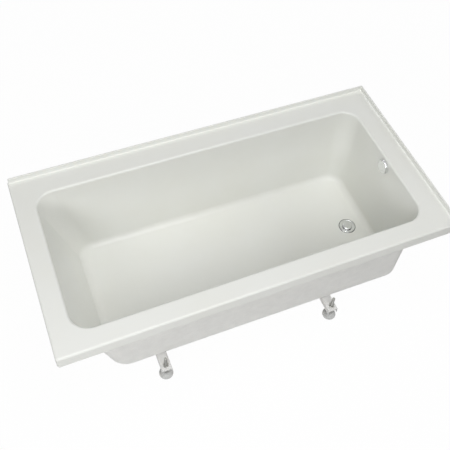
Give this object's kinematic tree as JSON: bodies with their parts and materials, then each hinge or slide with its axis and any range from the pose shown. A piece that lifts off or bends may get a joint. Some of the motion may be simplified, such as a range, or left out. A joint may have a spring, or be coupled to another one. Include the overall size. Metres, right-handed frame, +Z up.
{
  "type": "bathtub",
  "caption": "Rectangular acrylic bathtub for the corner of a room: skirt on the open sides, tiling flange on the wall sides, levelling cradle, end drain with stopper, and overflow.",
  "frame": {"origin": "on the floor, under the middle of the tub's outer box", "axes": "+X towards the drain end, along the length; +Y towards the back wall; +Z up"},
  "size_m": [1.524, 0.762, 0.543],
  "materials": {
    "acrylic": "glossy moulded acrylic, slightly warm white",
    "fibreglass": "white pigmented fibreglass laminate",
    "foam": "rigid closed-cell foam",
    "board": "raw plywood",
    "batten": "sawn softwood",
    "rail_steel": "white powder coat",
    "zinc": "zinc plated",
    "foot_rubber": "moulded, pale grey",
    "seal_rubber": "moulded",
    "chrome": "polished",
    "stopper_metal": "turned",
    "pipe_plastic": "moulded",
    "tube_brass": "drawn",
    "washer_plastic": "moulded"
  },
  "bodies": {
    "tub": {"tub_shell": "acrylic", "fibreglass_backing": "fibreglass", "floor_foam_bed": "foam", "base_board": "board", "batten_front": "batten", "batten_left": "batten", "batten_back": "batten", "batten_right_front": "batten", "batten_right_back": "batten", "cradle_rail_left": "rail_steel", "cradle_rail_right": "rail_steel", "cradle_screws": "zinc", "foot_nuts": "zinc", "drain_flange": "chrome", "drain_flange_seal": "seal_rubber", "drain_shoe_washer": "seal_rubber", "drain_shoe": "pipe_plastic", "shoe_tube": "tube_brass", "waste_tee": "pipe_plastic", "slip_nut_side": "pipe_plastic", "slip_nut_top": "pipe_plastic", "slip_nut_bottom": "pipe_plastic", "slip_washers": "washer_plastic", "overflow_tube": "tube_brass", "overflow_elbow": "pipe_plastic", "overflow_gasket": "seal_rubber", "overflow_ring_nut": "pipe_plastic", "overflow_cover": "chrome", "stopper_post": "stopper_metal"},
    "foot_front_left": {"stud_front_left": "zinc", "pad_front_left": "foot_rubber"},
    "foot_back_left": {"stud_back_left": "zinc", "pad_back_left": "foot_rubber"},
    "foot_front_right": {"stud_front_right": "zinc", "pad_front_right": "foot_rubber"},
    "foot_back_right": {"stud_back_right": "zinc", "pad_back_right": "foot_rubber"},
    "stopper": {"stopper_stem": "stopper_metal", "stopper_cap": "chrome", "stopper_seal": "seal_rubber"}
  },
  "joints": [
    {"name": "foot_front_left_adjust", "type": "slide", "parent": "tub", "child": "foot_front_left", "axis": [0, 0, -1], "range_m": [0, 0.03]},
    {"name": "foot_back_left_adjust", "type": "slide", "parent": "tub", "child": "foot_back_left", "axis": [0, 0, -1], "range_m": [0, 0.03]},
    {"name": "foot_front_right_adjust", "type": "slide", "parent": "tub", "child": "foot_front_right", "axis": [0, 0, -1], "range_m": [0, 0.03]},
    {"name": "foot_back_right_adjust", "type": "slide", "parent": "tub", "child": "foot_back_right", "axis": [0, 0, -1], "range_m": [0, 0.03]},
    {"name": "stopper_lift", "type": "slide", "parent": "tub", "child": "stopper", "axis": [0, 0, 1], "range_m": [0, 0.008]}
  ]
}
